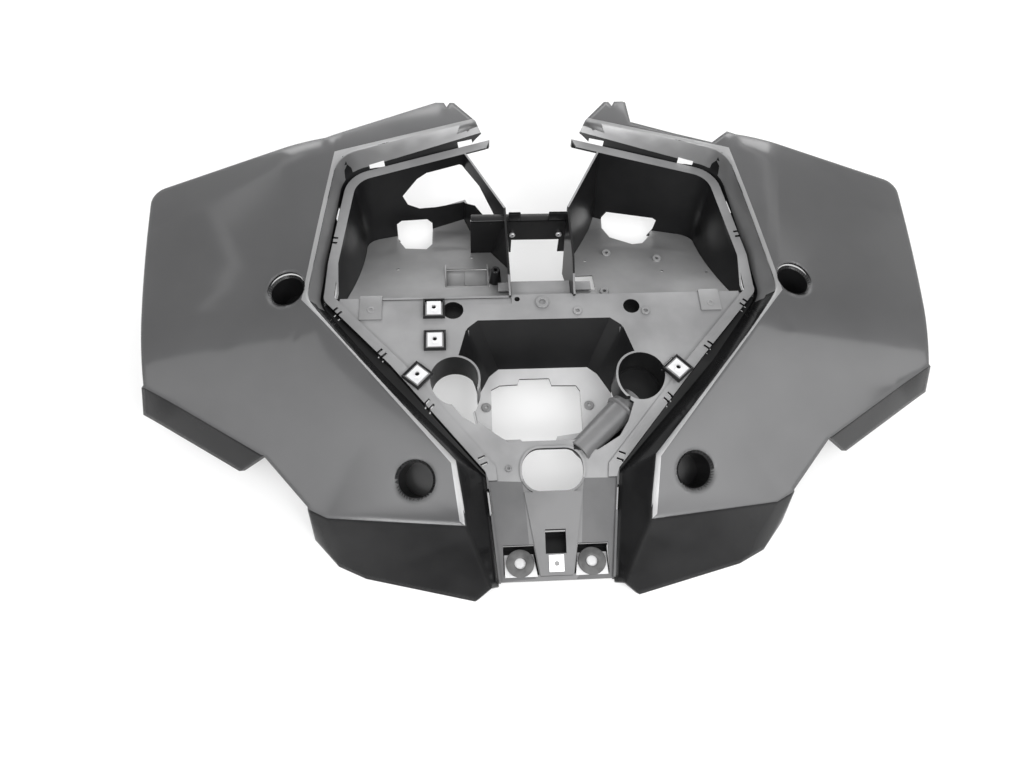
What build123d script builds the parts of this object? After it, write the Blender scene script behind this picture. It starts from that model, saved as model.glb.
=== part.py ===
from build123d import *
from math import atan, cos, degrees, hypot, radians, sin, tan
import os

# Front fairing of a utility quad bike: one wide moulded body with two glossy fender wings, a sunk
# rim for a storage lid, two storage wells with separate floor panels, a deep central pocket and
# a narrow nose with grommets and clip nuts.
# Millimetres. X runs across the vehicle, Y runs to the rear, Z is up. The origin is at the
# middle of the footprint, on the ground. Shapes are drawn for the right side and mirrored.

# Overall body
half_width = 580.0
half_length = 379.0
wall = 3.0
far = 900.0

# Top surface of the wings: a side profile that runs out and down from the centre plane
ref_x = 356.0
bend_y = -66.5
bend_z = 147.0
rear_slope = 3.5
front_slope = 24.0
bend_radius = 380.0
outward_slope = 11.0
arm_x = 90.0
arm_z = 150.0
arm_slope = 4.9
crown_radius = 350.0
profile_reach = 450.0

# Edge of a wing in plan, from its front corner round to the tip of the rear arm
arch_front = (325.0, -262.0)
arch_rear = (383.0, -196.0)
skirt_corner = (577.0, -125.0)
side_front = (551.2, -90.6)
side_mid = (572.0, 50.0)
rear_outer_y = 227.0
rear_reach = 1.2
rear_knee = (317.5, 289.0)
rear_inner = (151.0, 377.0)
arm_tip_x = 123.0
arm_tail = (0.0, 242.0)
side_radius = 2600.0
rear_corner_radius = 26.0

# Skirts and lips that turn down from the edge
skirt_rear = (553.0, -93.0, 95.0)
arch_rear_z = 85.5
skirt_flare = 18.0
skirt_depth = 42.0
side_lip = 26.0

# Front faces, by points on the ground line and on the crease with the top
nose_tip = (110.0, -379.0, 0.0)
tip_inner = (76.0, -360.0)
face_foot = (254.0, -343.0, 0.0)
face_crease = (220.0, -291.0, 72.0)
corner_inner = (291.0, -325.0, 0.0)
corner_outer = (323.0, -289.0, 0.0)
corner_crease = (325.0, -264.0, 66.0)

# Opening between the wings: corners on the ridge and the matching corners at the flange foot
ridge = [(107, -400, 49), (130, -226, 118), (327.5, 3.3, 157), (295.8, 255.3, 166), (61, 350, 147.5)]
foot = [(77.3, -400, -7), (94.7, -226, 60), (319, 25.6, 105), (290.7, 252.5, 128), (61, 333, 128)]
elbow_radius = 34.0
shoulder_radius = 58.0
edge_rounding = 2.5

# Sunk rim that carries the lid: outer line in plan, width, and height along Y
rim_line = [(78.0, -357.0), (91.3, -220.5), (314.5, 29.5), (287.2, 248.3), (61.0, 322.5)]
rim_elbow_radius = 18.0
rim_shoulder_radius = 50.0
rim_width = 14.5
rim_heights = [(420.0, 128.0), (85.0, 128.0), (40.0, 113.0), (-80.0, 113.0), (-400.0, -3.0)]
rim_end = (75.0, 297.0)
rim_front_y = -232.0
groove_depth = 12.0

# Shelf, sloping panel and nose plate inside the rim
shelf_z = 108.0
shelf_edge_y = 33.5
shelf_heights = [(60.0, 108.0), (-90.0, 108.0), (-400.0, -8.0)]

# Storage wells: plan corners at the top and at the ground, and the panel that floors them
well_top = [(303.0, 17.0), (273.9, 237.4), (107.0, 292.0), (50.0, 182.0), (50.0, 17.0)]
well_base = [(243.0, 17.0), (268.0, 199.0), (110.0, 258.5), (39.0, 60.0), (39.0, 17.0)]
well_top_z = 130.0
well_top_radius = 36.0
well_base_radius = 30.0
panel_heights = [(14.5, 106.0), (236.0, 8.5), (330.0, 8.5)]
panel_thickness = 2.5
panel_gap = 0.6
seat_width = 9.0
wall_foot = [(14.5, 98.0), (190.0, 16.0), (225.0, 0.0), (330.0, 0.0)]

# Central pocket
pocket_rim = [(60, -183, 75), (105, -150, 92), (128, -80, 108), (112, -22, 108), (95, -8, 108)]
pocket_floor = [(46, -172, 38), (96, -155, 38), (104, -108, 38), (80, -62, 38), (66, -50, 38)]
pocket_radius = 14.0
floor_hole = [(-78, -84), (-65, -77), (-39, -76), (-36, -67), (8, -67), (11, -79), (47, -80),
              (52, -89), (50, -156), (13, -161), (9, -171), (-34, -170), (-40, -164), (-79, -164)]
corner_opening = (130.0, -100.0)
corner_opening_radius = 33.0
corner_tube_depth = 50.0

# Rack sockets
rack_holes = [(357.0, 21.5, 151.5), (183.0, -244.5, 101.4)]
socket_bore = 46.0
socket_wall = 3.0
socket_depth = 46.0
socket_lip = 4.0

# Bulkhead and tunnel between the wells
bulkhead_y = 165.0
bulkhead_x = (-101.0, 49.0)
bulkhead_top = 118.0
castle_top = 133.0
castle_tabs = [(-43.0, -25.0), (18.0, 46.0)]
tunnel_x = (-37.0, 38.0)
tunnel_top = 72.0
strip_x = (-43.5, 43.5)
strip_y = (50.0, 66.0)
strip_z = 95.0

# Nose
oval_y = -220.0
oval_half = (42.0, 27.0)
grommet_place = (47.0, -335.5)
grommet_bore = 15.0
grommet_seat = 26.0
grommet_size = 38.0
grommet_flange = 3.0
grommet_gap = 0.2
insert_line = [(22.0, -352.0), (40.0, -248.0)]
insert_raise = 2.5
nose_hole = (14.0, -325.0, -295.0)

# Clip nuts
clip_size = (20.0, 22.0)
clip_sheet = 1.2
clip_hole = 6.5
clip_gap = 2.0
clip_turn = 42.0
boss_height = 4.0
boss_depth = 12.0
clip_places = {
    "rear_boss_clip_nut": (-157.0, 12.0, 0.0),
    "front_boss_clip_nut": (-156.0, -41.0, 0.0),
    "left_side_clip_nut": (-180.0, -96.0, -clip_turn),
    "right_side_clip_nut": (180.0, -96.0, clip_turn),
}
nose_clip_y = -337.0


def at_height(high, low, z):
    """Plan point where the line through two points passes the height z."""
    share = (z - low[2]) / (high[2] - low[2])
    return (low[0] + share * (high[0] - low[0]), low[1] + share * (high[1] - low[1]))


def shifted(points, moves):
    """Corners of an anticlockwise outline whose edges move outward by the given amounts."""
    count = len(points)
    lines = []
    for i in range(count):
        (x0, y0), (x1, y1) = points[i], points[(i + 1) % count]
        length = hypot(x1 - x0, y1 - y0)
        nx, ny = (y1 - y0) / length, (x0 - x1) / length
        lines.append((nx, ny, nx * x0 + ny * y0 + moves[i]))
    corners = []
    for i in range(count):
        a, b, c = lines[i - 1]
        d, e, f = lines[i]
        det = a * e - b * d
        corners.append(((c * e - b * f) / det, (a * f - c * d) / det))
    return corners


def outline(points, rounds, z=0.0):
    """Flat face with the given corners, some of them rounded."""
    face = make_face(Polyline(*points, close=True))
    for index, radius in rounds.items():
        x, y = points[index]
        corner = face.vertices().sort_by_distance((x, y, 0))[0]
        face = fillet(corner, radius)
    return Pos(0, 0, z) * face


def prism(points, rounds, z0, z1):
    """Upright block between two heights."""
    return extrude(outline(points, rounds, z0), z1 - z0)


def taper(high, low, z_high, z_low, grow, rounds, edges):
    """Block between two heights whose corners run through pairs of points."""
    faces = []
    for z in (z_low, z_high):
        points = [at_height(h, l, z) for h, l in zip(high, low)]
        moved = shifted(points, [grow * share for share in edges])
        faces.append(outline(moved, {i: r + grow for i, r in rounds.items()}, z))
    return loft(faces, ruled=True)


def band(heights, top, bottom):
    """Sheet that follows a line of heights along Y, right across the vehicle."""
    upper = [(y, z + top) for y, z in heights]
    lower = [(y, z + bottom) for y, z in reversed(heights)]
    side = Plane.YZ * make_face(Polyline(*upper, *lower, close=True))
    return extrude(side, far, both=True)


def beyond(shape, a, b, c, gap, y_min, y_max):
    """Shape without what lies beyond the plane through three points, between two values of Y."""
    a, b, c = Vector(*a), Vector(*b), Vector(*c)
    normal = (b - a).cross(c - a).normalized()
    outside = Plane(origin=a - normal * gap, z_dir=normal) * Pos(0, 0, far) * Box(4 * far, 4 * far, 2 * far)
    return shape - (outside & Pos(0, (y_min + y_max) / 2, 0) * Box(4 * far, y_max - y_min, 4 * far))


def both_sides(shape):
    """Shape and its mirror image on the left."""
    return shape + mirror(shape, about=Plane.YZ)


# Wings

def wing_block(drop):
    """Everything under the top surface of the right wing, lowered by drop."""
    lift = ref_x * tan(radians(outward_slope)) - drop
    rear_rise = (profile_reach - bend_y) * tan(radians(rear_slope))
    front_fall = (profile_reach + bend_y) * tan(radians(front_slope))
    points = [(profile_reach, bend_z + lift + rear_rise), (bend_y, bend_z + lift),
              (-profile_reach, bend_z + lift - front_fall)]
    top = FilletPolyline(*points, radius=bend_radius)
    base = Polyline(points[-1], (-profile_reach, -far), (profile_reach, -far), points[0])
    side = Plane.YZ * make_face(Curve() + [top, base])
    out = (cos(radians(outward_slope)), 0, -sin(radians(outward_slope)))
    block = extrude(side, far, dir=out)
    z_mid = arm_z - drop - arm_x * tan(radians(arm_slope))
    z_far = z_mid + far * tan(radians(arm_slope))
    arms = make_face(Polyline((0, z_mid), (far, z_far), (far, -far), (0, -far), close=True))
    block = block & extrude(Plane.XZ * arms, far, both=True)
    crown = [e for e in block.edges() if is_crown(e, drop)]
    return fillet(crown, crown_radius)


def is_crown(edge, drop):
    """Whether an edge lies on the plane of the arms, away from the ends of the block."""
    mid = edge @ 0.5
    start = edge @ 0.0
    for point in (start, mid):
        height = arm_z - drop + (point.X - arm_x) * tan(radians(arm_slope))
        if abs(point.Z - height) > 0.01:
            return False
    return abs(mid.Y) < profile_reach - 1 and mid.X > 1


wing_line = [(0.0, -profile_reach), (arch_front[0], -profile_reach), arch_front, arch_rear,
             (skirt_corner[0], arch_rear[1]), skirt_corner, side_front, side_mid,
             (half_width + rear_reach, rear_outer_y), rear_knee, rear_inner, (arm_tip_x, half_length), arm_tail]
open_edge = 20.0
wing_moves = [open_edge, open_edge, open_edge, open_edge, 0, -wall, -wall, -wall, -wall, -wall,
              -wall, open_edge, 0]
skirt_run = hypot(skirt_rear[0] - arch_rear[0], skirt_rear[1] - arch_rear[1])
skirt_out = ((skirt_rear[1] - arch_rear[1]) / skirt_run, -(skirt_rear[0] - arch_rear[0]) / skirt_run)
skirt_low = (skirt_rear[0] + skirt_flare * skirt_out[0], skirt_rear[1] + skirt_flare * skirt_out[1],
             skirt_rear[2] - skirt_depth)


def wing_solid(inset):
    """Right wing as a solid block, or the hollow inside it when inset is the wall."""
    moves = wing_moves if inset else [0] * len(wing_moves)
    line = shifted(wing_line, moves)
    body = prism(line, {8: rear_corner_radius - inset, 7: side_radius}, -far / 2, far / 2)
    body = body & wing_block(inset)
    body = beyond(body, (*arch_rear, arch_rear_z), skirt_low, skirt_rear, inset,
                  arch_rear[1], 0)
    body = beyond(body, nose_tip, face_foot, face_crease, inset, -far, arch_front[1])
    body = beyond(body, face_foot, corner_inner, corner_crease, inset, -far, arch_front[1])
    return beyond(body, corner_inner, corner_outer, corner_crease, inset, -far, arch_front[1])


def crease_edges(solid):
    """Edges where the top surface turns down, on the ridge or on the outer edge."""
    sides = {}
    for face in solid.faces():
        for edge in face.edges():
            sides.setdefault(edge, []).append(face.normal_at(edge @ 0.5).Z)
    return [e for e, tilt in sides.items() if len(tilt) == 2 and max(tilt) > 0.8
            and -0.2 < min(tilt) < 0.78 and (e @ 0.5).Z > 40 and e.length > 1]


def opening(grow):
    """Block that fills the opening between the wings on the right side."""
    high = ridge + [(-30, 350, 147.5), (-30, -400, 49)]
    low = foot + [(-30, 333, 128), (-30, -400, -7)]
    edges = [1, 1, 1, 1, 0, 0, 0]
    return taper(high, low, 190, -15, grow, {2: elbow_radius, 3: shoulder_radius}, edges)



def below(shape, drop, y0, y1, guard):
    """Part of the right side under the lowered top surface, between two values of Y."""
    block = wing_block(drop) & Pos(0, (y0 + y1) / 2, 0) * Box(2 * far, y1 - y0, 2 * far)
    return shape - (block - guard)


def is_open(edge):
    """Whether an edge belongs to the wheel arch or to the tip of the arm, which stay sharp."""
    mid = edge @ 0.5
    on_tip = mid.X < arm_tip_x - 5 and mid.Y > rim_line[-1][1]
    return on_tip and edge.geom_type == GeomType.LINE or arch_front[1] < mid.Y < arch_rear[1] and mid.X > arch_front[0]


def wing():
    """Right wing shell with its flange, lips, skirt and front faces."""
    solid = wing_solid(0) - opening(0)
    solid = fillet([e for e in crease_edges(solid) if not is_open(e)], edge_rounding)
    guard = opening(wall) & band(rim_heights, far, -groove_depth - wall)
    solid = solid - (wing_solid(wall) - guard)
    solid = below(solid, side_lip, side_front[1], profile_reach, guard)
    solid = below(solid, skirt_depth, arch_front[1], side_front[1], guard)
    solid = split(solid, bisect_by=Plane.XY, keep=Keep.TOP)
    for place in rack_holes:
        solid = socket(solid, place)
    return solid


def socket(solid, place):
    """Solid with a deep round socket for a rack post, square to the surface."""
    fall = front_slope if place[1] < bend_y else -rear_slope
    normal = Vector(tan(radians(outward_slope)), -tan(radians(fall)), 1)
    spot = Plane(origin=place, z_dir=normal)
    radius = socket_bore / 2
    tube = spot * Pos(0, 0, -socket_depth / 2) * Cylinder(radius + socket_wall, socket_depth)
    bore = spot * Pos(0, 0, socket_wall) * Cylinder(radius, 2 * socket_depth)
    mouth = spot * Pos(0, 0, -socket_lip / 2) * Cone(radius, radius + socket_lip, socket_lip)
    top = spot * Pos(0, 0, socket_lip) * Cylinder(radius + socket_lip, 2 * socket_lip)
    keep = spot * Pos(0, 0, -socket_depth - wall / 2) * Cylinder(radius + socket_wall, wall)
    return solid + tube - bore - mouth - top + keep


# Rim, groove and everything inside the rim

def rim_plan(inset):
    """Outline of the rim on the right side, moved inward."""
    line = [(0.0, rim_line[0][1])] + rim_line + [(0.0, rim_line[-1][1])]
    moves = [-inset * share for share in (0, 1, 1, 1, 1, 0, 0)]
    return shifted(line, moves)


def rim_prism(inset, z0, z1):
    """Upright block inside the outline of the rim."""
    rounds = {3: max(rim_elbow_radius - inset, wall), 4: rim_shoulder_radius - inset}
    return prism(rim_plan(inset), rounds, z0, z1)


def rim():
    """Rim, the step at its outer edge, and the floor of the groove round it."""
    outer = rim_prism(0, -wall, profile_reach)
    hole = rim_prism(wall, -2 * wall, profile_reach + wall)
    inner = rim_prism(rim_width, -2 * wall, profile_reach + wall)
    top = (outer - inner) & band(rim_heights, 0, -wall)
    top = top & Pos(0, rim_front_y + far / 2, 0) * Box(2 * far, far, 2 * far)
    step = (outer - hole) & band(rim_heights, 0, -groove_depth - wall)
    floor = (opening(wall) - hole) & band(rim_heights, -groove_depth, -groove_depth - wall)
    ledge = top + step + floor
    end = (rim_line[-1][0], rim_line[-1][1] + groove_depth)
    gap = make_face(Polyline((0, profile_reach), end, rim_end, (0, rim_end[1] - groove_depth), close=True))
    return ledge - extrude(gap, far)


def shelf():
    """Shelf, sloping panel and nose plate, right side."""
    plate = rim_prism(wall / 2, -wall, far) & band(shelf_heights, 0, -wall)
    return plate & Pos(0, shelf_edge_y - far / 2, 0) * Box(2 * far, far, 2 * far)


def shelf_step():
    """Small upright step from the inner edge of the rim down to the shelf."""
    ring = rim_prism(rim_width - wall, -wall, far) - rim_prism(rim_width, -2 * wall, far + wall)
    lower = [(y, z) for y, z in shelf_heights]
    strip = ring & band(lower, far, -wall)
    strip = strip & band(rim_heights, 0, -far)
    length = shelf_edge_y - rim_front_y
    return strip & Pos(0, shelf_edge_y - length / 2, 0) * Box(2 * far, length, 2 * far)


def well(grow):
    """Block that fills the right storage well."""
    high = [(x, y, well_top_z) for x, y in well_top]
    low = [(x, y, 0.0) for x, y in well_base]
    high = [high[4], high[0], high[1], high[2], high[3]]
    low = [low[4], low[0], low[1], low[2], low[3]]
    faces = []
    for points, rounds, z in ((low, {2: well_base_radius}, -wall), (high, {2: well_top_radius}, well_top_z)):
        line = [at_height(h, l, z) for h, l in zip(high, low)]
        moved = shifted(line, [0, grow, grow, grow, grow])
        faces.append(outline(moved, {i: r + grow for i, r in rounds.items()}, z))
    return loft(faces, ruled=True)


def well_walls():
    """Walls of the right storage well with the seat for its floor panel."""
    outer = well(wall)
    walls = (outer - well(0)) & band(wall_foot, far, 0)
    walls = walls & band(rim_heights, 0, -far)
    seat = (outer - well(-seat_width)) & band(panel_heights, -panel_thickness, -panel_thickness - wall)
    shell = walls + seat
    return shell & Pos(0, shelf_edge_y - wall + far / 2, 0) * Box(2 * far, far, 2 * far)


def floor_panel():
    """Separate sloping plate that floors the right well."""
    plate = well(-panel_gap) & band(panel_heights, 0, -panel_thickness)
    return plate & Pos(0, shelf_edge_y + panel_gap + far / 2, 0) * Box(2 * far, far, 2 * far)


def pocket(grow, z_top, z_low):
    """Block that fills the right half of the central pocket."""
    high = [(0, pocket_rim[0][1], pocket_rim[0][2])] + pocket_rim + [(0, pocket_rim[-1][1], pocket_rim[-1][2])]
    low = [(0, pocket_floor[0][1], pocket_floor[0][2])] + pocket_floor
    low = low + [(0, pocket_floor[-1][1], pocket_floor[-1][2])]
    edges = [1, 1, 1, 1, 1, 1, 0]
    return taper(high, low, z_top, z_low, grow, {3: pocket_radius, 4: pocket_radius}, edges)



# Features on the middle of the vehicle

def pocket_shell():
    """Walls and floor of the central pocket, right side."""
    shell = pocket(wall, 130, pocket_floor[0][2] - wall) - pocket(0, 135, pocket_floor[0][2])
    return shell & band(shelf_heights, 0, -far)


def right_half():
    """Right half of the moulding, before the features that cross the middle."""
    half = wing() + rim() + shelf() + shelf_step() + well_walls()
    tube = Pos(*corner_opening, shelf_z - corner_tube_depth / 2)
    half = half - pocket(0, 130, pocket_floor[0][2]) + pocket_shell()
    ring = tube * Cylinder(corner_opening_radius + wall, corner_tube_depth)
    half = half + (ring & band(shelf_heights, 0, -far))
    half = half - tube * Cylinder(corner_opening_radius, 3 * corner_tube_depth)
    box = Pos(far / 2, rim_line[0][1] + far / 2, far / 2) * Box(far, far, far)
    front = Pos(far / 2 + rim_line[0][0], 0, far / 2) * Box(far, far, far)
    half = (half & box) + (half & front)
    tip = [tip_inner, (nose_tip[0], nose_tip[1]), (nose_tip[0], -far), (tip_inner[0], -far)]
    return half - prism(tip, {}, -far, far)


def tunnel():
    """Bulkhead between the wells with its castle tabs, and the stepped strip in front of it."""
    x0, x1 = bulkhead_x
    plate = Pos((x0 + x1) / 2, bulkhead_y, bulkhead_top / 2) * Box(x1 - x0, wall, bulkhead_top)
    plate = plate & band(panel_heights, far, panel_gap)
    for t0, t1 in castle_tabs:
        height = castle_top - tunnel_top
        plate = plate + Pos((t0 + t1) / 2, bulkhead_y, castle_top - height / 2) * Box(t1 - t0, wall, height)
    middle = (tunnel_x[0] + tunnel_x[1]) / 2
    gate = Pos(middle, bulkhead_y, tunnel_top / 2) * Box(tunnel_x[1] - tunnel_x[0], 3 * wall, tunnel_top)
    plate = plate - gate
    s0, s1 = strip_x
    deep = strip_y[1] - shelf_edge_y + wall
    strip = Pos((s0 + s1) / 2, strip_y[1] - deep / 2, strip_z - wall / 2) * Box(s1 - s0, deep, wall)
    rise = shelf_z - strip_z + wall
    strip = strip + Pos((s0 + s1) / 2, shelf_edge_y, shelf_z - rise / 2) * Box(s1 - s0, wall, rise)
    front = strip_z - tunnel_top + groove_depth
    strip = strip + Pos((s0 + s1) / 2, strip_y[1], strip_z - front / 2) * Box(s1 - s0, wall, front)
    return plate + strip


def nose_details(body):
    """Moulding with the oval opening, raised insert, grommet holes and recess of the nose."""
    oval = Pos(0, oval_y, 0) * extrude(RectangleRounded(2 * oval_half[0], 2 * oval_half[1], oval_half[1] - 2), far)
    lip = offset(RectangleRounded(2 * oval_half[0], 2 * oval_half[1], oval_half[1] - 2), wall)
    lip = Pos(0, oval_y, 0) * extrude(lip, far) & band(shelf_heights, insert_raise, -wall)
    body = body + lip - oval
    (x0, y0), (x1, y1) = insert_line
    insert = prism([(-x0, y0), (x0, y0), (x1, y1), (-x1, y1)], {}, 0, far)
    body = body + (insert & band(shelf_heights, insert_raise, -wall / 2))
    half, y_low, y_high = nose_hole
    body = body - Pos(0, (y_low + y_high) / 2, 0) * extrude(Rectangle(2 * half, y_high - y_low), far)
    hole = on_plate(*grommet_place) * Cylinder(grommet_seat / 2, 2 * groove_depth)
    return body - both_sides(hole)


def panel_slope():
    """Rise of the nose plate along Y."""
    (y0, z0), (y1, z1) = shelf_heights[1:]
    return (z0 - z1) / (y0 - y1)


def on_plate(x, y):
    """Place on the nose plate, square to its slope."""
    z = shelf_heights[1][1] + panel_slope() * (y - shelf_heights[1][0])
    return Pos(x, y, z) * Rot(degrees(atan(panel_slope())), 0, 0)


def grommet():
    """Rubber grommet in the right hole of the nose plate."""
    sheet = wall * cos(atan(panel_slope()))
    length = 2 * grommet_flange + sheet
    neck = Pos(0, 0, grommet_flange - length / 2) * Cylinder(grommet_seat / 2 - grommet_gap, length)
    top = Pos(0, 0, grommet_flange / 2) * Cylinder(grommet_size / 2, grommet_flange)
    low = Pos(0, 0, -sheet - grommet_flange / 2) * Cylinder(grommet_size / 2 - grommet_flange, grommet_flange)
    rubber = neck + top + low - Cylinder(grommet_bore / 2, far)
    return on_plate(*grommet_place) * rubber


def clip_nut():
    """Pressed sheet clip nut: a flat plate with a round hole and a short threaded neck."""
    w, d = clip_size
    neck_height = 2 * clip_sheet
    sheet = Pos(0, 0, clip_sheet / 2) * Box(w, d, clip_sheet)
    neck = Pos(0, 0, clip_sheet + neck_height / 2) * Cylinder(clip_hole / 2 + clip_sheet, neck_height)
    return sheet + neck - Cylinder(clip_hole / 2, far)


def clip_spots():
    """Where each clip nut sits, with its plate flat on its seat."""
    top = shelf_z + boss_height
    spots = {name: Pos(x, y, top) * Rot(0, 0, turn) for name, (x, y, turn) in clip_places.items()}
    spots["nose_clip_nut"] = Pos(0, 0, insert_raise) * on_plate(0, nose_clip_y)
    return spots


def clip_seats(body):
    """Moulding with a raised boss under each clip nut of the shelf, and a bolt hole at each."""
    w, d = clip_size
    for name, spot in clip_spots().items():
        if name in clip_places:
            boss = Pos(0, 0, -boss_depth / 2) * Box(w + 2 * clip_gap, d + 2 * clip_gap, boss_depth)
            body = body + spot * boss
    for spot in clip_spots().values():
        body = body - spot * Cylinder(clip_hole / 2 + clip_sheet, 4 * boss_depth)
    return body


def fairing_body():
    """The whole one-piece moulding."""
    right = right_half()
    body = both_sides(right)
    body = body + tunnel()
    body = nose_details(body)
    hole = make_face(Polyline(*floor_hole, close=True))
    body = body - extrude(hole, shelf_z - wall)
    return clip_seats(body)


os.makedirs("parts", exist_ok=True)
nodes = {}
nodes["fairing_body"] = fairing_body()
panel = floor_panel()
nodes["right_floor_panel"] = panel
nodes["left_floor_panel"] = mirror(panel, about=Plane.YZ)
rubber = grommet()
nodes["right_grommet"] = rubber
nodes["left_grommet"] = mirror(rubber, about=Plane.YZ)
for name, spot in clip_spots().items():
    nodes[name] = spot * clip_nut()
for name, shape in nodes.items():
    export_step(shape, "parts/" + name + ".step")
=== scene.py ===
from math import cos, pi, radians, sin, tan

import bmesh
import bpy
from mathutils import Matrix, Vector

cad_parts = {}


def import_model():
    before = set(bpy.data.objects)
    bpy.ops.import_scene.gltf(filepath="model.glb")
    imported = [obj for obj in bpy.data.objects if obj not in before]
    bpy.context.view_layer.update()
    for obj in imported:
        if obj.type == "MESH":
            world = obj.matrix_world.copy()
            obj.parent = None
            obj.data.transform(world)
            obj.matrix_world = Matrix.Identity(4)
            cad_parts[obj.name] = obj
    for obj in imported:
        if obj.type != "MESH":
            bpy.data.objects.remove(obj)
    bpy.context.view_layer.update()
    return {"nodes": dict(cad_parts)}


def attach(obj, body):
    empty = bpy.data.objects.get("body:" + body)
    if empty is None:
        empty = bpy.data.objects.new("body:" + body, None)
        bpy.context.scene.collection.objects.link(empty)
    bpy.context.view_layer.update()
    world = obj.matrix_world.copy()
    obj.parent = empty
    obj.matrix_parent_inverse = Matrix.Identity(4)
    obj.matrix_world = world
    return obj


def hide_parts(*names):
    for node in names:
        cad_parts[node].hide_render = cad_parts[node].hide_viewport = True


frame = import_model()
nodes = frame["nodes"]

# Radius over which the paint's edges look rounded, in metres
edge_softness = 0.009

# Camera of the picture: place in metres, turn in degrees, lens in millimetres
camera_place = (-0.1139, -0.6112, 1.0475)
camera_turn = (28.085, -2.213, -2.977)
camera_lens = 27.44

# Share of plain white in the floor that the camera sees, and strength of the surroundings' light
floor_white = 0.45
world_light = 0.7

# Angle between two faces, in degrees, from which an edge of the body or of a panel stays sharp
sharp_angle = 28.0


def clouded(name, low, high, scale, roughness, **sockets):
    """New material whose colour wanders between two values, by noise in object space."""
    material = bpy.data.materials.new(name)
    material.use_nodes = True
    tree = material.node_tree
    shader = tree.nodes["Principled BSDF"]
    shader.inputs["Roughness"].default_value = roughness
    for socket, value in sockets.items():
        shader.inputs[socket.replace("_", " ")].default_value = value
    coords = tree.nodes.new("ShaderNodeTexCoord")
    noise = tree.nodes.new("ShaderNodeTexNoise")
    noise.inputs["Scale"].default_value = scale
    noise.inputs["Detail"].default_value = 4.0
    ramp = tree.nodes.new("ShaderNodeValToRGB")
    for stop, position, color in zip(ramp.color_ramp.elements, (0.35, 0.65), (low, high)):
        stop.position = position
        stop.color = (*color, 1)
    tree.links.new(coords.outputs["Object"], noise.inputs["Vector"])
    tree.links.new(noise.outputs["Fac"], ramp.inputs["Fac"])
    tree.links.new(ramp.outputs["Color"], shader.inputs["Base Color"])
    return material, tree, shader


def fine_bumps(tree, shader, texture_type, output, scale, strength, depth):
    """Fine relief from a texture in object space."""
    coords = tree.nodes.new("ShaderNodeTexCoord")
    texture = tree.nodes.new(texture_type)
    texture.inputs["Scale"].default_value = scale
    bump = tree.nodes.new("ShaderNodeBump")
    bump.inputs["Strength"].default_value = strength
    bump.inputs["Distance"].default_value = depth
    tree.links.new(coords.outputs["Object"], texture.inputs["Vector"])
    tree.links.new(texture.outputs[output], bump.inputs["Height"])
    tree.links.new(bump.outputs["Normal"], shader.inputs["Normal"])
    return bump


def rounded_edges(tree, shader, bump=None):
    """Softly rounded edges that catch the light, in the coat and in the layer below."""
    bevel = tree.nodes.new("ShaderNodeBevel")
    bevel.inputs["Radius"].default_value = edge_softness
    bevel.samples = 6
    if bump:
        tree.links.new(bevel.outputs["Normal"], bump.inputs["Normal"])
    else:
        tree.links.new(bevel.outputs["Normal"], shader.inputs["Normal"])
    tree.links.new(bevel.outputs["Normal"], shader.inputs["Coat Normal"])


def gloss_paint():
    """Glossy metallic grey paint on the top of the wings, with fine flakes under its coat."""
    material, tree, shader = clouded("gloss_paint", (0.066, 0.066, 0.068), (0.08, 0.08, 0.082), 6.0, 0.42,
                                     Metallic=0.7, Coat_Weight=1.0, Coat_Roughness=0.11)
    flakes = fine_bumps(tree, shader, "ShaderNodeTexVoronoi", "Distance", 1400.0, 0.15, 0.0001)
    rounded_edges(tree, shader, flakes)
    return material


def shaded_wing_paint():
    """Painted shade: the same paint as on the top of the wings, made nearly black on the faces that turn
    down, away from the light.
    """
    material, tree, shader = clouded("shaded_wing_paint", (0.008, 0.008, 0.0085), (0.018, 0.018, 0.0185), 9.0, 0.25,
                                     Metallic=0.2, Coat_Weight=0.1, Coat_Roughness=0.03,
                                     Specular_IOR_Level=0.12)
    rounded_edges(tree, shader)
    return material


def lit_satin_paint(name, low, high, soft):
    """Painted light: a bright satin copy of the wing paint, for the lit flange along the opening and for the
    painted highlight on the fold above it.
    """
    material, tree, shader = clouded(name, low, high, 9.0, 0.42, Metallic=0.75, Coat_Weight=0.3,
                                     Coat_Roughness=0.2)
    if soft:
        rounded_edges(tree, shader)
    return material


def moulded(name, low, high, scale, roughness, grit=900.0, strength=0.3, **sockets):
    """Moulded plastic or rubber, with a fine grain."""
    material, tree, shader = clouded(name, low, high, scale, roughness, **sockets)
    fine_bumps(tree, shader, "ShaderNodeTexNoise", "Fac", grit, strength, 0.0002)
    return material


# Plastics of the body that small pieces share with it: a lit copy of the black plastic (painted light), the
# black plastic itself, and the insert's plastic
shelf_lit_matte = moulded("lit_shelf_matte", (0.2, 0.2, 0.203), (0.28, 0.28, 0.283), 11.0, 0.42, Metallic=0.15)
black_matte = moulded("dark_matte", (0.006, 0.006, 0.0065), (0.012, 0.012, 0.0125), 10.0, 0.3, 700.0, 0.2,
                      Specular_IOR_Level=0.3)
insert_matte = moulded("insert_matte", (0.12, 0.12, 0.122), (0.165, 0.165, 0.167), 12.0, 0.38, Metallic=0.15)

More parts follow.
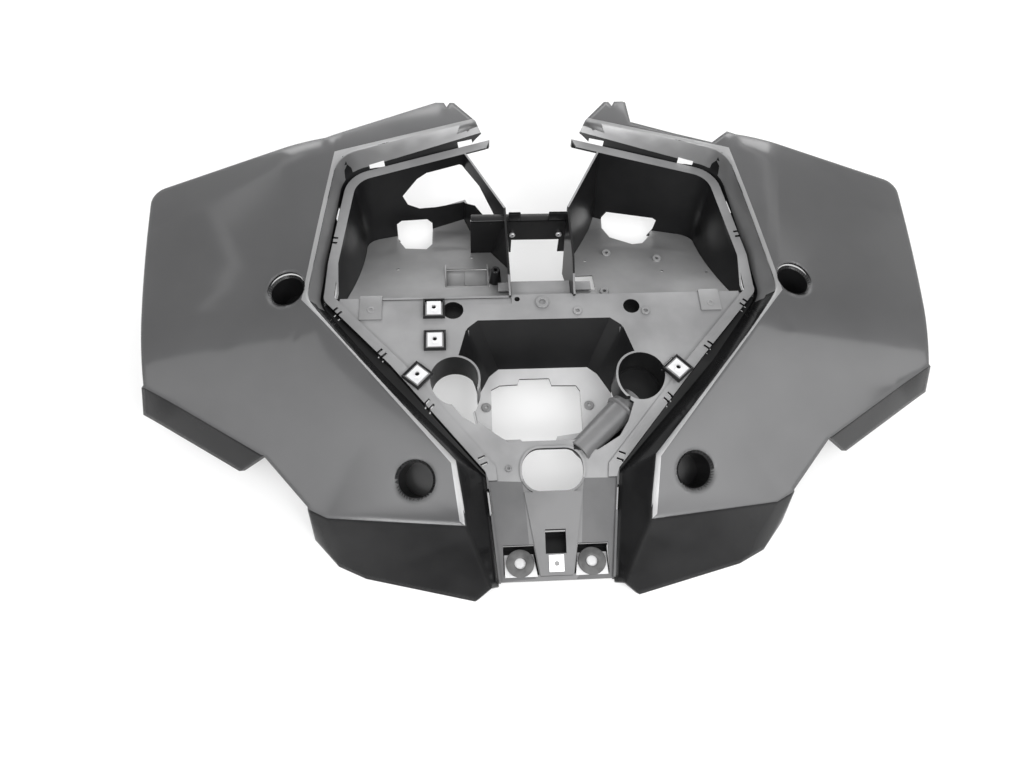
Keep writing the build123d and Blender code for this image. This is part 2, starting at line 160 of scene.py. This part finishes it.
# Materials of the body, one for each of its material slots
body_materials = [
    gloss_paint(),
    shaded_wing_paint(),
    # Lit copy of the wing paint on the flange: painted light
    lit_satin_paint("flange_lit_paint", (0.27, 0.27, 0.273), (0.33, 0.33, 0.333), False),
    # Lit copy of the black plastic on level faces: painted light
    shelf_lit_matte,
    black_matte,
    # Dimmer lit copy of the black plastic on the sloped nose: painted light and shade
    moulded("nose_slope_lit_matte", (0.075, 0.075, 0.077), (0.105, 0.105, 0.107), 13.0, 0.42, Metallic=0.15),
    # Brighter lit copy of the black plastic on the pocket floor: painted light
    moulded("pocket_lit_matte", (0.5, 0.5, 0.505), (0.62, 0.62, 0.625), 12.0, 0.45, Metallic=0.15),
    insert_matte,
    # Painted highlight along the fold of the ridge
    lit_satin_paint("fold_highlight_paint", (0.31, 0.31, 0.313), (0.38, 0.38, 0.383), True),
]
(top_gloss, side_shade, flange_lit, shelf_lit_grey, black_and_shade, nose_slope_lit, pocket_lit_pale, insert_grey,
 fold_highlight) = range(9)

# Materials of the separate pieces
panel_matte = moulded("panel_matte", (0.19, 0.19, 0.192), (0.28, 0.28, 0.282), 8.0, 0.4, Metallic=0.2)
tongue_matte = moulded("tongue_matte", (0.62, 0.62, 0.625), (0.72, 0.72, 0.725), 12.0, 0.45, Metallic=0.15)
rubber = moulded("rubber", (0.07, 0.07, 0.07), (0.13, 0.13, 0.13), 60.0, 0.5, 500.0, 0.3)
zinc = clouded("zinc", (0.82, 0.82, 0.83), (0.9, 0.9, 0.91), 90.0, 0.35, Metallic=0.6)[0]

# Lines of the body in plan, in millimetres, for the choice of material
ridge_line = [(107, -400), (130, -226), (327.5, 3.3), (295.8, 255.3), (61, 350), (-30, 350),
              (-30, -400)]
rim_line = [(78, -357), (91.3, -220.5), (314.5, 29.5), (287.2, 248.3), (61, 322.5), (-30, 322.5),
            (-30, -357)]
insert_line = [(-1, -390), (26, -390), (43, -232), (-1, -232)]
floor_line = [(0, -185), (50, -185), (104, -165), (110, -108), (86, -58), (0, -48)]

# Bounds between the materials of the body, among them the painted shade of the bay between the wells, and
# width of the painted highlight along the fold, in millimetres
plate_rear = -232.0
diagonal_rear = 5.0
crease_front = -287.0
tunnel_side = 62.0
tunnel_front, tunnel_rear = 68.0, 168.0
pocket_top = 60.0
fold_highlight_width = 6.5

# Upward parts of a face's normal that tell the materials apart, so that level faces get painted light and
# steep ones painted shade
underside_up = -0.15
flange_up = 0.05
fold_highlight_up = 0.55
floor_up = 0.6
top_up = 0.72
level_up = 0.8

# Painted shade of a groove at the foot of the flange: its top at the arms, and where and how steeply it
# falls
foot_top = 134.0
foot_bend = 252.5
foot_fall = 0.1014

# Rack sockets of the right side: the top of each axis with the fall of the surface to the front in
# degrees, then how far each axis leans outward and the radius that counts as inside
socket_tops = [((357.0, 21.5, 151.5), -3.5), ((183.0, -244.5, 101.4), 24.0)]
socket_lean = 0.194
socket_reach = 24.5


def inside(line, x, y):
    """Whether a plan point of the right side lies inside a closed line."""
    count, hit = len(line), False
    for i in range(count):
        (x0, y0), (x1, y1) = line[i], line[(i + 1) % count]
        if (y0 > y) != (y1 > y) and x < x0 + (y - y0) * (x1 - x0) / (y1 - y0):
            hit = not hit
    return hit


def near(line, x, y, reach):
    """Whether a plan point of the right side lies close to the first four stretches of a line."""
    for (x0, y0), (x1, y1) in zip(line[:4], line[1:5]):
        dx, dy = x1 - x0, y1 - y0
        along = max(0, min(1, ((x - x0) * dx + (y - y0) * dy) / (dx ** 2 + dy ** 2)))
        if (x - x0 - along * dx) ** 2 + (y - y0 - along * dy) ** 2 < reach ** 2:
            return True
    return False


def in_socket(x, y, z):
    """Whether a point lies inside one of the round rack sockets."""
    for top, fall in socket_tops:
        axis = Vector((socket_lean, -tan(radians(fall)), 1.0)).normalized()
        away = Vector((x - top[0], y - top[1], z - top[2]))
        if (away - axis * away.dot(axis)).length < socket_reach and away.dot(axis) < 1:
            return True
    return False


def foot_shade_height(y):
    """Top of the painted shade at the foot of the flange, along Y."""
    return min(foot_top, foot_top - foot_fall * (foot_bend - y))


def body_slot(center, normal):
    """Material slot of one face of the body: by place in plan and by how steep it is, which paints light on
    level faces, shade on steep and downturned ones, and a highlight along the ridge.
    """
    x, y, z = abs(center.x) * 1000, center.y * 1000, center.z * 1000
    # Undersides get the black plastic; the insides of the rack sockets get it as painted shade
    if normal.z < underside_up or in_socket(x, y, z):
        return black_and_shade
    # A strip along the ridge gets a painted highlight
    if normal.z > fold_highlight_up and y > crease_front and near(ridge_line, x, y, fold_highlight_width):
        return fold_highlight
    if not inside(ridge_line, x, y):
        # Wing faces that turn down get the shaded copy of the paint: painted shade
        return top_gloss if normal.z > top_up else side_shade
    if not inside(rim_line, x, y):
        # Level groove faces, and the flange below its foot, get the black plastic as painted shade
        if normal.z > level_up or y > diagonal_rear and z < foot_shade_height(y):
            return black_and_shade
        # Flange faces above the foot get the lit copy of the paint: painted light
        return flange_lit if y > diagonal_rear and normal.z > flange_up else side_shade
    # Steep faces get the black plastic, and the bay between the wells gets it as painted shade
    if normal.z < floor_up or x < tunnel_side and tunnel_front < y < tunnel_rear:
        return black_and_shade
    # The sloped nose faces get a dimmer lit copy of the plastic: painted light and shade by slope
    if y < plate_rear:
        return insert_grey if inside(insert_line, x, y) else nose_slope_lit
    # The low pocket floor gets a brighter lit copy of the plastic: painted light
    if inside(floor_line, x, y) and z < pocket_top:
        return pocket_lit_pale
    # Other level faces inside the rim get the lit copy of the black plastic: painted light
    return shelf_lit_grey


# Shapes for cutting and for small pieces, in millimetres

def add_prism(mesh, points, low, high, lean=0.0, level=0.0):
    """Block over a plan outline, upright or leaning to the front above a level."""
    if sum(p[0] * q[1] - q[0] * p[1] for p, q in zip(points, points[1:] + points[:1])) < 0:
        points = points[::-1]
    rings = []
    for z in (low, high):
        shift = -lean * (z - level)
        rings.append([mesh.verts.new((x / 1000, (y + shift) / 1000, z / 1000)) for x, y in points])
    mesh.faces.new(rings[0][::-1])
    mesh.faces.new(rings[1])
    for i in range(len(points)):
        j = (i + 1) % len(points)
        mesh.faces.new((rings[0][i], rings[0][j], rings[1][j], rings[1][i]))


def rectangle(x0, x1, y0, y1):
    """Corners of an upright rectangle in plan."""
    return [(x0, y0), (x1, y0), (x1, y1), (x0, y1)]


def moved(x, y, turn, along, across):
    """Plan point at some distance along and across a turned direction."""
    c, s = cos(radians(turn)), sin(radians(turn))
    return x + c * along - s * across, y + s * along + c * across


def box_line(x, y, turn, long, wide):
    """Corners of a turned rectangle."""
    corners = [(-long / 2, -wide / 2), (long / 2, -wide / 2), (long / 2, wide / 2), (-long / 2, wide / 2)]
    return [moved(x, y, turn, along, across) for along, across in corners]


def circle_line(x, y, radius, count=32):
    """Points of a circle."""
    angles = [2 * pi * i / count for i in range(count)]
    return [(x + radius * cos(angle), y + radius * sin(angle)) for angle in angles]


def both_sides(points):
    """An outline of one side and its mirror image on the other."""
    return points, [(-x, y) for x, y in points]


def add_lathe(mesh, profile, place, count=48):
    """Turned shape from (radius, height) pairs, closed on itself, put in place by a matrix."""
    rings = []
    for radius, height in profile:
        ring = []
        for i in range(count):
            angle = 2 * pi * i / count
            point = place @ Vector((radius * cos(angle), radius * sin(angle), height))
            ring.append(mesh.verts.new(point / 1000))
        rings.append(ring)
    for a, ring in enumerate(rings):
        after = rings[(a + 1) % len(rings)]
        for i in range(count):
            j = (i + 1) % count
            mesh.faces.new((ring[i], ring[j], after[j], after[i]))


def piece(name, mesh, material, soft=0, angle=30):
    """Object from a mesh in code, with softened edges where asked, riding on the body."""
    bmesh.ops.recalc_face_normals(mesh, faces=mesh.faces)
    data = bpy.data.meshes.new(name)
    mesh.to_mesh(data)
    mesh.free()
    data.materials.append(material)
    for polygon in data.polygons:
        polygon.use_smooth = True
    thing = bpy.data.objects.new(name, data)
    bpy.context.scene.collection.objects.link(thing)
    if soft:
        bevel = thing.modifiers.new("soft", "BEVEL")
        bevel.width = soft
        bevel.segments = 2
        bevel.limit_method = "ANGLE"
    split = thing.modifiers.new("split", "EDGE_SPLIT")
    split.split_angle = radians(angle)
    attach(thing, "root")
    return thing


def carved(name, node, meshes):
    """Copy of a CAD node with groups of shapes cut out of it in turn, which stands for the node."""
    source = bmesh.new()
    source.from_mesh(nodes[node].data)
    bmesh.ops.remove_doubles(source, verts=source.verts, dist=1e-6)
    data = bpy.data.meshes.new(name)
    source.to_mesh(data)
    source.free()
    thing = bpy.data.objects.new(name, data)
    bpy.context.scene.collection.objects.link(thing)
    for mesh in meshes:
        bmesh.ops.recalc_face_normals(mesh, faces=mesh.faces)
        cut_data = bpy.data.meshes.new(name + "_cut")
        mesh.to_mesh(cut_data)
        mesh.free()
        cutter = bpy.data.objects.new(name + "_cut", cut_data)
        bpy.context.scene.collection.objects.link(cutter)
        cut = thing.modifiers.new("cut", "BOOLEAN")
        cut.operation = "DIFFERENCE"
        cut.solver = "EXACT"
        cut.object = cutter
        bpy.context.view_layer.update()
        shown = thing.evaluated_get(bpy.context.evaluated_depsgraph_get())
        result = bpy.data.meshes.new_from_object(shown)
        thing.modifiers.clear()
        thing.data = result
        bpy.data.objects.remove(cutter)
    for layer in ("custom_normal", "sharp_face", "sharp_edge"):
        if layer in result.attributes:
            result.attributes.remove(result.attributes[layer])
    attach(thing, "root")
    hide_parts(node)
    return thing


def split_faces(mesh, faces, spot, normal):
    """Extra edges where a plane through a spot crosses some faces of a mesh."""
    edges = {edge for face in faces for edge in face.edges}
    verts = {vert for face in faces for vert in face.verts}
    bmesh.ops.bisect_plane(mesh, geom=faces + list(edges) + list(verts), dist=1e-6,
                           plane_co=spot, plane_no=normal)


def split_body(thing):
    """Extra edges beside the ridge and above the foot of the flange, where the painted highlight of the fold
    and the painted shade of the foot begin.
    """
    mesh = bmesh.new()
    mesh.from_mesh(thing.data)
    for sign in (1, -1):
        for (x0, y0), (x1, y1) in zip(ridge_line[:4], ridge_line[1:5]):
            normal = Vector((y1 - y0, x0 - x1, 0)).normalized()
            spot = Vector((x0, y0, 0)) + normal * fold_highlight_width
            faces = [face for face in mesh.faces
                     if face.normal.z > level_up and face.calc_center_median().x * sign > 0]
            split_faces(mesh, faces, (sign * spot.x / 1000, spot.y / 1000, 0),
                        (sign * normal.x, normal.y, 0))
    bend = Vector((0, foot_bend, foot_top)) / 1000
    for normal in ((0, 0, 1), (0, -foot_fall, 1)):
        faces = [face for face in mesh.faces if flange_up < face.normal.z < level_up]
        split_faces(mesh, faces, bend, normal)
    mesh.to_mesh(thing.data)
    mesh.free()


def paint(thing, materials, choose=None):
    """Materials of a CAD node or of its carved copy, chosen face by face where it has several."""
    mesh = thing.data
    mesh.materials.clear()
    for material in materials:
        mesh.materials.append(material)
    for polygon in mesh.polygons:
        polygon.use_smooth = True
        if choose:
            polygon.material_index = choose(polygon.center, polygon.normal)
    sharp = thing.modifiers.new("split", "EDGE_SPLIT")
    sharp.split_angle = radians(sharp_angle)


# Outlines of the cuts in plan, in millimetres
rear_step = [(306, 309), (306, 295), (278, 273), (224, 297), (158, 329), (154, 392), (306, 392)]
tip_notch = [(122, 390), (133, 367), (144, 390)]
well_window = [(-207, 258), (-200, 240), (-182, 231), (-156, 233), (-113, 242), (-92, 236), (-70, 201),
               (-61, 211), (-85, 277), (-111, 321), (-127, 328), (-150, 320), (-183, 293)]
left_notch = [(-220, 233), (-212, 240), (-171, 243), (-163, 235), (-163, 191), (-172, 181), (-206, 183),
              (-220, 202)]
right_notch = [(124, 242), (131, 253), (205, 238), (211, 233), (208, 216), (200, 201), (183, 186),
               (165, 184), (131, 199), (123, 219)]
corner_window = [(-117, -70), (-100, -100), (-96, -150), (-101, -160), (-120, -149), (-138, -128)]
corner_gap = [(98, -128), (113, -128), (110, -146), (99, -158)]
duct_window = [(104, -128), (117, -136), (108, -160), (95, -179), (64, -196), (30, -196), (30, -186)]
nose_window = [(30.0, -312.5), (71.0, -312.5), (71.0, -350.0), (23.5, -350.0)]
shelf_recess = rectangle(-235, -45, 20, 30)
tunnel_gap = [(47, 60), (83, 54), (84, 93), (47, 91)]

# Pairs of hook slots in the rim: x, y and turn in degrees
hook_places = [(301.0, 124.0, 97.1), (293.5, 9.0, 48.2), (229.0, -61.0, 48.2), (165.0, -132.5, 48.2),
               (94.5, -206.5, 70.0)]

# Long slots in the groove of the rim: x, y, turn, length, width and top
groove_slots = [(105.0, 314.3, -18.3, 24.0, 7.0, 136), (243.0, 267.6, -18.3, 24.0, 6.0, 136),
                (300.8, 183.0, 97.1, 27.0, 3.5, 122), (87.0, -258.0, 84.0, 32.0, 3.0, 122)]

# Round holes of the shelf: x, y and radius
shelf_holes = [(-130.0, 10.5, 15.0), (128.5, 11.0, 12.0), (-37.0, 27.0, 4.0)]

# Clip nuts with a frame: name, x, y and turn
clip_places = [("rear_boss", -157.0, 12.0, 0.0), ("front_boss", -156.0, -41.0, 0.0),
               ("left_side", -180.0, -96.0, -42.0), ("right_side", 180.0, -96.0, 42.0)]

# Sunk tray of the left panel: sides, front, rear, underside and wall
tray_left, tray_right, tray_front, tray_rear = -142, -75, 68, 118
tray_low, tray_wall = 54.5, 2.5

# Heights of the shelf, the pocket floor and the tongues, and the right grommet in plan
shelf_z = 108.0
pocket_z = 38.0
tongue_z = 10.7
grommet_x, grommet_y = 48.5, -334.0


def cut_notch(mesh, line):
    """Notch in the floor of a well, cut so that it leans to the front as it rises."""
    add_prism(mesh, line, -9, 62, 0.81, 30)


def body_cuts():
    """Everything that is cut out of the moulding, in groups whose shapes stay clear of each other."""
    first, second, third, fourth = (bmesh.new() for _ in range(4))
    for line in (rear_step, *both_sides(tip_notch)):
        add_prism(first, line, 60, 190)
    for x, y, turn in hook_places:
        for shift in (-4.5, 4.5):
            for line in both_sides(box_line(*moved(x, y, turn, shift, 0), turn, 3.2, 10)):
                add_prism(first, line, 20, 140)
    for x, y, turn, long, wide, top in groove_slots:
        for line in both_sides(box_line(x, y, turn, long, wide)):
            add_prism(first, line, 20, top)
    for line in (corner_window, corner_gap):
        add_prism(first, line, 43, 130)
    for line in both_sides(nose_window):
        add_prism(first, line, -5, 45)
    add_prism(second, well_window, 42, 112, 0.909, 70)
    for x, y, radius in shelf_holes:
        add_prism(second, circle_line(x, y, radius), 100, 112)
    add_prism(third, duct_window, 52, 130)
    for line in (left_notch, right_notch):
        cut_notch(third, line)
    add_prism(third, shelf_recess, 106.5, 112)
    for _, x, y, turn in clip_places:
        add_prism(fourth, box_line(*moved(x, y, turn, 0, 15.5), turn, 20, 4.5), 95, 118)
    return first, second, third, fourth


def panel_cuts(notch, opening, holes):
    """Everything that is cut out of one floor panel."""
    mesh = bmesh.new()
    cut_notch(mesh, notch)
    add_prism(mesh, opening, 40, 120)
    for x, y in holes:
        add_prism(mesh, circle_line(x, y, 2.5, 16), -5, 120)
    return mesh


def ring_boss(mesh, x, y, z, radius, hole, height=3.0):
    """Round moulded boss with a screw hole and a soft shoulder."""
    place = Matrix.Translation((x, y, z))
    profile = [(hole, -2.0), (radius, -2.0), (radius, height - 0.8), (radius - 0.8, height),
               (hole + 0.5, height), (hole, height - 0.5)]
    add_lathe(mesh, profile, place, 32)


def panel_height(y):
    """Height of the floor panels along Y."""
    return 106.0 - 0.4402 * (y - 14.5)


def bosses():
    """Screw bosses of the shelf, the pocket floor and the strip in front of it, and of the panels."""
    mesh = bmesh.new()
    for x, y, radius in ((-1, 20, 10), (49, 4, 6.5), (148, 1.5, 6.5)):
        ring_boss(mesh, x, y, shelf_z, radius, radius * 0.45)
    for x, y in ((-86, -113), (63, -114)):
        ring_boss(mesh, x, y, pocket_z, 7, 2.5)
    ring_boss(mesh, -60.0, -217.0, 60.0, 4.5, 2.0, 4.0)
    piece("moulded_bosses", mesh, shelf_lit_matte)
    mesh = bmesh.new()
    for x, y in ((116, 154), (194, 135), (95, 48)):
        ring_boss(mesh, x, y, panel_height(y) + 1, 7, 2.5)
    piece("panel_bosses", mesh, panel_matte)


def duct():
    """Straight cable duct across the right corner of the pocket, with a collar and a lip."""
    start, end = Vector((121.0, -119.0, 64.0)), Vector((38.0, -195.0, 60.0))
    run = end - start
    place = Matrix.Translation(start) @ run.to_track_quat("Z", "Y").to_matrix().to_4x4()
    length = run.length
    profile = [(17.5, 0), (20, 0), (20, 22), (23.5, 23), (24, 25), (23, 26.5), (20, 28), (17, length - 9),
               (18, length - 3), (18, length), (14, length)]
    mesh = bmesh.new()
    add_lathe(mesh, profile, place)
    piece("cable_duct", mesh, insert_matte, angle=50)


def tab(name, x0, x1, front):
    """Flat tab of a floor panel that lies on the shelf, with a riser and a screw hole."""
    rear, thick = 36.6, 2.5
    mesh = bmesh.new()
    add_prism(mesh, rectangle(x0, x1, front, rear), shelf_z, shelf_z + thick)
    add_prism(mesh, rectangle(x0, x1, 34.2, rear), 95, shelf_z)
    place = Matrix.Translation(((x0 + x1) / 2, 12, shelf_z + thick))
    add_lathe(mesh, [(2.5, -1.5), (5.5, -1.5), (5.5, 0.4), (4.5, 0.9), (2.5, 0.9)], place, 32)
    piece(name, mesh, panel_matte, 0.0005)


def tray():
    """Sunk tray of the left floor panel and the tapered post beside the tunnel."""
    left, right, front = tray_left + tray_wall, tray_right - tray_wall, tray_front + tray_wall
    middle, gap_rear = -112, 89
    mesh = bmesh.new()
    for x in (tray_left, right):
        add_prism(mesh, rectangle(x, x + tray_wall, tray_front, tray_rear), tray_low,
                  panel_height((tray_front + tray_rear) / 2))
    add_prism(mesh, rectangle(left, right, tray_front, front), tray_low, panel_height(tray_front))
    for line in (rectangle(left, middle, front, tray_rear), rectangle(middle, right, gap_rear, tray_rear)):
        add_prism(mesh, line, tray_low, tray_low + tray_wall)
    piece("left_panel_tray", mesh, panel_matte, 0.0006)
    mesh = bmesh.new()
    profile = [(2.6, 4), (9.5, 0), (9.2, 6), (7.0, 30), (6.4, 34), (5.6, 34.8), (3.2, 34.8), (2.6, 34)]
    add_lathe(mesh, profile, Matrix.Translation((-66, 80, 74)), 40)
    piece("left_panel_post", mesh, black_matte)


def tunnel_details():
    """Ledge of the bulkhead with its tabs, shoulders of the strip in front of it, and two bushes."""
    mesh = bmesh.new()
    add_prism(mesh, rectangle(-100, 48, 163.5, 177), 115, 118.2)
    for x0, x1 in ((-43, -25), (18, 46)):
        add_prism(mesh, rectangle(x0, x1, 163.4, 168), 118, 133)
    piece("bulkhead_ledge", mesh, black_matte, 0.0008)
    mesh = bmesh.new()
    for x0, x1 in ((-63, -44), (44, 75)):
        add_prism(mesh, rectangle(x0, x1, 51, 66), 92, 95)
    piece("strip_shoulders", mesh, shelf_lit_matte, 0.0006)
    mesh = bmesh.new()
    for x in (-36.5, 36.5):
        place = Matrix.Translation((x, 161.5, 86.5)) @ Matrix.Rotation(radians(90), 4, "X")
        add_lathe(mesh, [(2.2, -1), (4.6, -1), (4.6, 1.2), (4.0, 1.8), (2.2, 1.8)], place, 24)
    piece("bulkhead_bushes", mesh, zinc)


def nose_shade_plates():
    """Dark plates under the windows of the nose, seen behind the tongues: painted shade of the recess there.
    """
    mesh = bmesh.new()
    for line in both_sides([(28, -312), (72, -312), (72, -351), (22, -351)]):
        add_prism(mesh, line, 2.5, 4)
    for line in both_sides(rectangle(28, 72, -312, -310.5)):
        add_prism(mesh, line, 4, 12)
    piece("nose_shade_plates", mesh, black_matte)


def tongues():
    """Level tongues in the nose windows, with the rubber grommets that sit in them."""
    outline = [(30, -321.5), (69.5, -321.5), (69.5, -352), (25.5, -352)]
    profile = [(7.5, -5), (15, -5), (15, -3.2), (12.8, -3), (12.8, 0), (18.2, 0), (19, 0.8), (19, 2.4),
               (18.2, 3.2), (9.2, 3.2), (7.5, 2.2)]
    for name, sign, line in zip(("right", "left"), (1, -1), both_sides(outline)):
        mesh = bmesh.new()
        add_prism(mesh, line, tongue_z - 3, tongue_z)
        piece(name + "_tongue", mesh, tongue_matte, 0.0006)
        mesh = bmesh.new()
        add_lathe(mesh, profile, Matrix.Translation((sign * grommet_x, grommet_y, tongue_z)), 64)
        for turn in (30, 115, 205, 300):
            x, y = moved(sign * grommet_x, grommet_y, turn, 14, 0)
            add_prism(mesh, circle_line(x, y, 1.3, 12), tongue_z + 3, tongue_z + 4.2)
        ring = piece(name + "_grommet_ring", mesh, rubber)
        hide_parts(name + "_grommet")


def nose_recess():
    """Dark box under the rectangular opening of the nose."""
    side, front, rear, wall = 15, -326, -294, 1
    mesh = bmesh.new()
    add_prism(mesh, rectangle(-side, side, front, rear), 4, 5.5)
    for x0, x1, y0, y1 in ((-side, side, rear, rear + wall), (-side - wall, -side, front, rear + wall),
                           (side, side + wall, front, rear + wall), (-side, side, front - wall, front)):
        add_prism(mesh, rectangle(x0, x1, y0, y1), 4, 15)
    piece("nose_recess", mesh, black_matte)


def corner_cup():
    """Dark cup that closes the foot of the right round opening, and the floor under the duct's window."""
    mesh = bmesh.new()
    profile = [(0.5, 0), (31, 0), (32.6, 2), (32.6, 6), (31.4, 6), (30.6, 2.4), (0.5, 1.6)]
    add_lathe(mesh, profile, Matrix.Translation((130.0, -100.0, 60.0)), 40)
    add_prism(mesh, [(100, -122), (128, -133), (106, -170), (60, -197), (44, -192), (70, -165)], 34, 36)
    piece("corner_cup", mesh, black_matte)


def shelf_cups():
    """Dark cups under the two larger round holes of the shelf."""
    wall, deep = 1.5, 16
    mesh = bmesh.new()
    for x, y, radius in shelf_holes[:2]:
        profile = [(0.5, 0), (radius + wall, 0), (radius + wall, deep - 3), (radius, deep - 3),
                   (radius, wall), (0.5, wall)]
        add_lathe(mesh, profile, Matrix.Translation((x, y, shelf_z - deep)), 40)
    piece("shelf_cups", mesh, black_matte)


def clip_frames():
    """Dark raised frames around the clip nuts of the shelf and the V-shaped plate."""
    reach, bar, long_side, short_side = 14.2, 2.6, 31, 25.6
    bars = [(0, -reach, long_side, bar), (0, reach, long_side, bar),
            (-reach, 0, bar, short_side), (reach, 0, bar, short_side)]
    mesh = bmesh.new()
    for name, x, y, turn in clip_places:
        base = min(vert.co.z for vert in nodes[name + "_clip_nut"].data.vertices) * 1000
        for along, across, long, wide in bars:
            line = box_line(*moved(x, y, turn, along, across), turn, long, wide)
            add_prism(mesh, line, base - 4, base + 1.6)
    piece("clip_frames", mesh, black_matte, 0.0005)


body = carved("body_shell", "fairing_body", body_cuts())
split_body(body)
paint(body, body_materials, body_slot)
tray_opening = rectangle(tray_left, tray_right, tray_front, tray_rear)
for side, notch, opening, holes in (
        ("right", right_notch, tunnel_gap, [(79, 134), (195, 101), (264, 96)]),
        ("left", left_notch, tray_opening, [(-100, 150), (-214, 120)])):
    plate = carved(side + "_floor_plate", side + "_floor_panel", [panel_cuts(notch, opening, holes)])
    paint(plate, [panel_matte])
for name in nodes:
    if "clip_nut" in name:
        paint(nodes[name], [zinc])
bosses()
duct()
tab("left_panel_tab", -263, -231, -4)
tab("right_panel_tab", 230, 260, 0)
tray()
tunnel_details()
nose_shade_plates()
tongues()
nose_recess()
corner_cup()
shelf_cups()
clip_frames()


def floor():
    """Wide pale floor that stays white and keeps a faint shadow."""
    bpy.ops.mesh.primitive_plane_add(size=60, location=(0, 0, -0.0005))
    plane = bpy.context.object
    plane.name = "floor"
    material, tree, shader = clouded("floor", (0.92, 0.92, 0.92), (0.94, 0.94, 0.94), 1.5, 0.6)
    path = tree.nodes.new("ShaderNodeLightPath")
    white = tree.nodes.new("ShaderNodeEmission")
    white.inputs["Color"].default_value = (1, 1, 1, 1)
    part = tree.nodes.new("ShaderNodeMath")
    part.operation = "MULTIPLY"
    part.inputs[1].default_value = floor_white
    mix = tree.nodes.new("ShaderNodeMixShader")
    tree.links.new(path.outputs["Is Camera Ray"], part.inputs[0])
    tree.links.new(part.outputs["Value"], mix.inputs["Fac"])
    tree.links.new(shader.outputs["BSDF"], mix.inputs[1])
    tree.links.new(white.outputs["Emission"], mix.inputs[2])
    tree.links.new(mix.outputs["Shader"], tree.nodes["Material Output"].inputs["Surface"])
    plane.data.materials.append(material)


def lamp(name, place, target, size, power):
    """Soft rectangular lamp aimed at a point."""
    data = bpy.data.lights.new(name, "AREA")
    data.shape = "RECTANGLE"
    data.size, data.size_y = size
    data.energy = power
    thing = bpy.data.objects.new(name, data)
    thing.location = place
    direction = Vector(target) - Vector(place)
    thing.rotation_euler = direction.to_track_quat("-Z", "Y").to_euler()
    bpy.context.scene.collection.objects.link(thing)


def world():
    """White surroundings for the camera, softer light for the object."""
    scene_world = bpy.data.worlds.new("world")
    scene_world.use_nodes = True
    tree = scene_world.node_tree
    back = tree.nodes["Background"]
    back.inputs["Color"].default_value = (1, 1, 1, 1)
    path = tree.nodes.new("ShaderNodeLightPath")
    level = tree.nodes.new("ShaderNodeMath")
    level.operation = "MULTIPLY_ADD"
    level.inputs[1].default_value = 1 - world_light
    level.inputs[2].default_value = world_light
    tree.links.new(path.outputs["Is Camera Ray"], level.inputs[0])
    tree.links.new(level.outputs["Value"], back.inputs["Strength"])
    bpy.context.scene.world = scene_world


floor()
world()
lamp("front_right", (1.8, -0.8, 2.0), (0.2, -0.1, 0), (2.2, 1.8), 23)
lamp("front_left", (-1.8, -0.7, 2.0), (-0.2, -0.1, 0), (2.0, 1.6), 11)
lamp("top_front", (0.1, -1.5, 2.3), (0, 0, 0), (2.2, 1.3), 17)
lamp("rear", (0.1, 2.3, 1.15), (0, 0, 0.15), (3.4, 0.9), 34)
for sign in (1, -1):
    lamp("fold_" + str(sign), (sign * 0.95, -1.5, 1.5), (-sign * 0.2, -0.1, 0.13), (0.5, 0.5), 10)
    lamp("strip_" + str(sign), (sign * 1.9, 1.9, 2.0), (sign * 0.3, 0.15, 0.14), (1.5, 0.12), 0.6)

camera_data = bpy.data.cameras.new("camera")
camera_data.lens = camera_lens
camera_data.clip_end = 100
camera = bpy.data.objects.new("camera", camera_data)
camera.location = camera_place
camera.rotation_euler = [radians(angle) for angle in camera_turn]
bpy.context.scene.collection.objects.link(camera)
bpy.context.scene.camera = camera
bpy.context.scene.view_settings.view_transform = "Standard"
